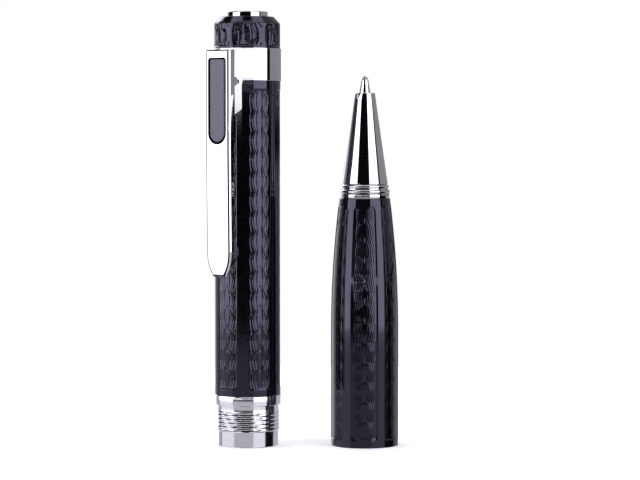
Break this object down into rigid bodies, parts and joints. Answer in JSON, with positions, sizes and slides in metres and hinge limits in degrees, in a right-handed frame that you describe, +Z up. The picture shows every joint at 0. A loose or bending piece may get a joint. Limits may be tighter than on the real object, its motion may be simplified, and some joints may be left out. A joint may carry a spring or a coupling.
{
  "type": "subminiature spy camera",
  "caption": "Pen-form hidden camera unscrewed into two upright halves: camera barrel with sprung pocket clip, button and threaded coupling, and tapered writing half with ball point.",
  "frame": {"origin": "centre of the standing face of the camera half, at the end of its coupling's pilot", "axes": "+Z up along the camera half's axis to its button, +X towards the writing half, -Y the viewed side with the clip"},
  "size_m": [0.0364, 0.0154, 0.0823],
  "materials": {
    "black_lacquer": "deep gloss lacquer over engraved strips",
    "chrome": "polished chrome plate",
    "aluminium": "fine turned, bare",
    "inlay": "dark polished insert",
    "spring_steel": "bright drawn wire",
    "circuit_board": "solder mask",
    "chip_plastic": "moulded epoxy",
    "holder_plastic": "moulded black",
    "lens_glass": "coated optical glass",
    "led_epoxy": "clear epoxy",
    "flex_film": "polyimide film",
    "cell_wrap": "shrink sleeve",
    "foam": "closed-cell foam",
    "wire_insulation": "PVC insulation",
    "refill_metal": "nickel-plated brass tube",
    "point_metal": "turned brass",
    "ball_carbide": "polished ball"
  },
  "bodies": {
    "camera_half": {"coupling": "aluminium", "barrel_tube": "black_lacquer", "clip_band": "chrome", "clip_spring": "spring_steel", "cap": "black_lacquer", "button_spring": "spring_steel", "switch_circuit_board": "circuit_board", "tact_switch": "spring_steel", "status_led": "led_epoxy", "camera_holder": "holder_plastic", "pinhole_window": "lens_glass", "lens_barrel": "holder_plastic", "front_lens": "lens_glass", "rear_lens": "lens_glass", "image_sensor": "chip_plastic", "sensor_board": "circuit_board", "microphone": "spring_steel", "camera_flex": "flex_film", "lithium_cell": "cell_wrap", "foam_pad": "foam", "main_board": "circuit_board", "video_processor": "chip_plastic", "flash_memory": "chip_plastic", "board_parts": "chip_plastic", "usb_socket": "spring_steel", "port_plate": "holder_plastic", "reset_switch": "chip_plastic", "battery_wires": "wire_insulation"},
    "record_button": {"record_button": "chrome"},
    "clip": {"clip": "chrome", "clip_inlay": "inlay", "clip_pin": "spring_steel"},
    "reset_button": {"reset_plunger": "holder_plastic"},
    "writing_half": {"grip_barrel": "black_lacquer", "refill_holder": "aluminium", "trim_ring": "chrome", "nose_cone": "chrome"},
    "refill": {"refill_tube": "refill_metal", "refill_point": "point_metal", "writing_ball": "ball_carbide"}
  },
  "joints": [
    {"name": "record_button_press", "type": "slide", "parent": "camera_half", "child": "record_button", "axis": [0, 0, -1], "range_m": [0, 0.0004], "stiffness_N_per_m": 1500, "springref_m": -0.0004, "deforming": ["button_spring"]},
    {"name": "clip_open", "type": "hinge", "parent": "camera_half", "child": "clip", "pos_m": [-0.0043, -0.00577, 0.069], "axis": [-0.8018, 0.5976, 0], "range_deg": [0, 8], "stiffness_Nm_per_rad": 0.25, "springref_deg": -11.46, "deforming": ["clip_spring"]},
    {"name": "reset_press", "type": "slide", "parent": "camera_half", "child": "reset_button", "axis": [0, 0, 1], "range_m": [0, 0.00025], "stiffness_N_per_m": 400, "springref_m": -0.0002},
    {"name": "writing_half_lift", "type": "slide", "parent": "camera_half", "child": "writing_half", "axis": [0, 0, 1], "range_m": [0, 0.012]},
    {"name": "refill_pull", "type": "slide", "parent": "writing_half", "child": "refill", "axis": [0, 0, 1], "range_m": [0, 0.062]}
  ]
}
